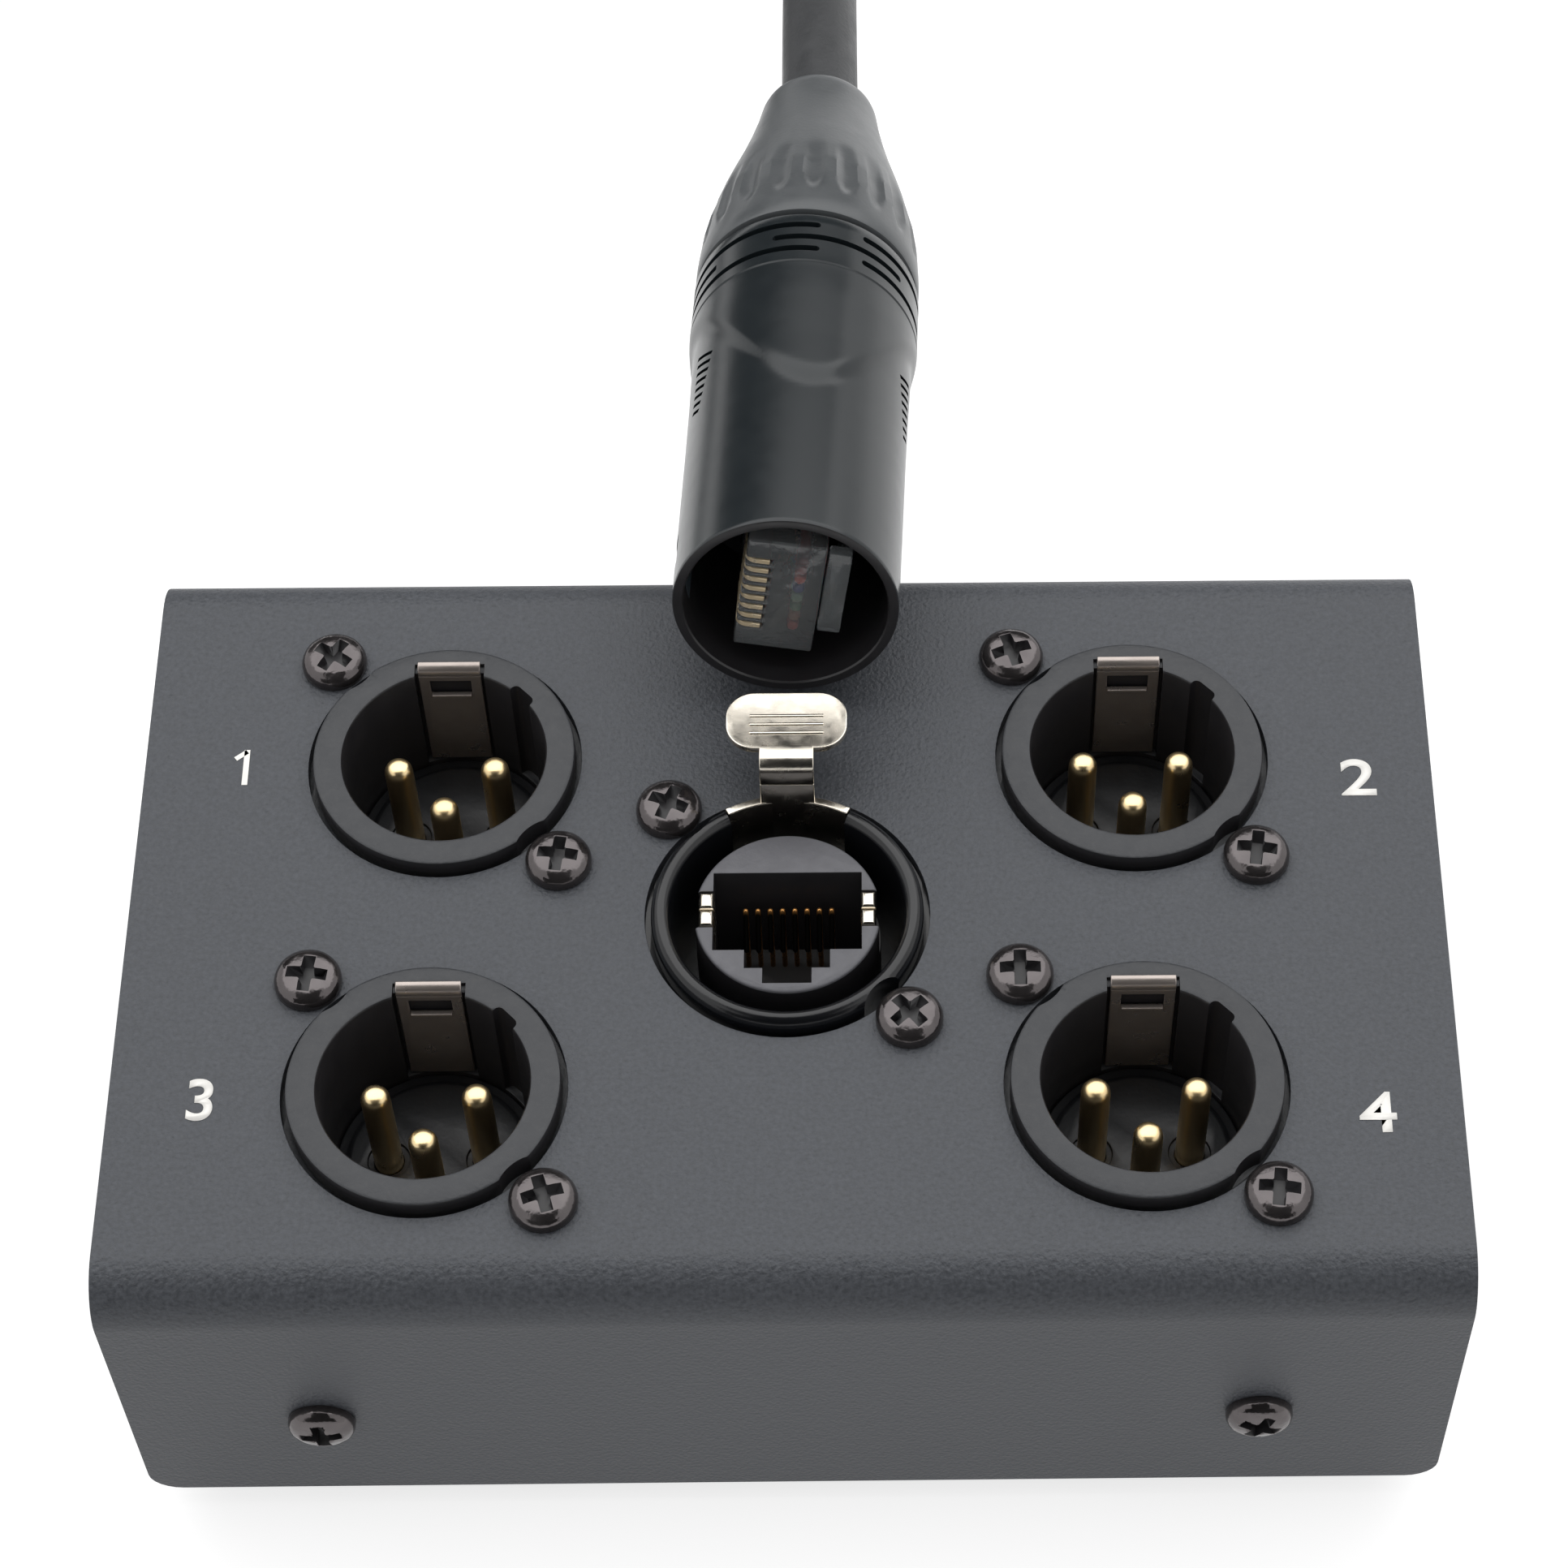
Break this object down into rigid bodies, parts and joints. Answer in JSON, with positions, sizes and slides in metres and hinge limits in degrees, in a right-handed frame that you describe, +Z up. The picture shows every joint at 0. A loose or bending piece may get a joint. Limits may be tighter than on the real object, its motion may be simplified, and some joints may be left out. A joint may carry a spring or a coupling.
{
  "type": "audio patch bay",
  "caption": "Low steel box with round male audio sockets around a locking data socket with a push tab, and a plug-ended lead lying over its back edge.",
  "frame": {"origin": "on the surface that the feet stand on, below the middle of the case", "axes": "+X to the right along the case's width, +Y to the back, where the lead leaves, +Z up"},
  "size_m": [0.1635, 0.2775, 0.0579],
  "materials": {
    "powder_coat": "fine-texture dark grey powder coat",
    "black_nickel": "glossy black nickel plate",
    "zinc": "bright zinc plate",
    "foot_rubber": "matt black rubber",
    "black_casting": "satin black plate on a zinc casting",
    "insert_plastic": "satin black moulding",
    "gold_plate": "gold plate",
    "dark_spring_metal": "dark plated spring strip",
    "black_housing": "glossy black",
    "grey_plastic": "satin dark grey moulding",
    "nickel": "nickel plate",
    "board": "green solder mask on glass-fibre board",
    "header_plastic": "natural nylon",
    "wire_insulation": "coloured insulation",
    "clear_plastic": "clear polycarbonate",
    "bushing_plastic": "satin black moulding",
    "cable_jacket": "matt black flexible jacket",
    "tie_fabric": "black hook-and-loop strap"
  },
  "bodies": {
    "case": {"top_cover": "powder_coat", "bottom_tray": "powder_coat", "cover_screws": "black_nickel", "rivet_nuts": "zinc", "rubber_feet": "foot_rubber", "foot_screws": "zinc", "foot_nuts": "zinc", "audio_socket_1_shell": "black_casting", "audio_socket_1_insert": "insert_plastic", "audio_socket_1_pins": "gold_plate", "audio_socket_1_ground_strip": "dark_spring_metal", "audio_socket_2_shell": "black_casting", "audio_socket_2_insert": "insert_plastic", "audio_socket_2_pins": "gold_plate", "audio_socket_2_ground_strip": "dark_spring_metal", "audio_socket_3_shell": "black_casting", "audio_socket_3_insert": "insert_plastic", "audio_socket_3_pins": "gold_plate", "audio_socket_3_ground_strip": "dark_spring_metal", "audio_socket_4_shell": "black_casting", "audio_socket_4_insert": "insert_plastic", "audio_socket_4_pins": "gold_plate", "audio_socket_4_ground_strip": "dark_spring_metal", "audio_socket_screws": "black_nickel", "data_socket_screws": "black_nickel", "socket_nuts": "zinc", "data_socket_housing": "black_housing", "data_socket_jack": "grey_plastic", "data_socket_contacts": "gold_plate", "data_socket_shield_springs": "nickel", "tab_springs": "zinc", "pawl_pin": "zinc", "circuit_board": "board", "wire_headers": "header_plastic", "socket_1_wires": "wire_insulation", "socket_2_wires": "wire_insulation", "socket_3_wires": "wire_insulation", "socket_4_wires": "wire_insulation"},
    "release_tab": {"release_tab": "nickel"},
    "latch_pawl": {"latch_pawl": "nickel"},
    "lead": {"plug_shell": "black_casting", "plug_carrier": "insert_plastic", "plug_body": "clear_plastic", "plug_blades": "gold_plate", "plug_conductors": "wire_insulation", "plug_clamp": "insert_plastic", "plug_bushing": "bushing_plastic", "plug_cable_end": "cable_jacket", "lead_cable": "cable_jacket", "lead_coil": "cable_jacket", "lead_tie": "tie_fabric", "lead_cable_far": "cable_jacket", "far_plug_shell": "black_casting", "far_plug_carrier": "insert_plastic", "far_plug_body": "clear_plastic", "far_plug_bushing": "bushing_plastic"},
    "plug_latch": {"plug_latch": "clear_plastic"}
  },
  "joints": [
    {"name": "release_tab_press", "type": "slide", "parent": "case", "child": "release_tab", "axis": [0, 0, -1], "range_m": [0, 0.0018], "stiffness_N_per_m": 500, "springref_m": -0.002, "deforming": ["tab_springs"]},
    {"name": "latch_pawl_turn", "type": "hinge", "parent": "case", "child": "latch_pawl", "pos_m": [0, 0.01065, 0.0258], "axis": [-1, 0, 0], "range_deg": [0, 10.2]},
    {"name": "lead_lift", "type": "slide", "parent": "case", "child": "lead", "axis": [0, 0, 1], "range_m": [0, 0.06]},
    {"name": "plug_latch_flex", "type": "hinge", "parent": "lead", "child": "plug_latch", "pos_m": [0.00333, 0.02394, 0.0479], "axis": [0.1457, 0.184, 0.9721], "range_deg": [0, 8], "stiffness_Nm_per_rad": 0.02}
  ],
  "couplings": [
    {"joint": "latch_pawl_turn", "follows": "release_tab_press", "rad_per_m": 96.963}
  ]
}
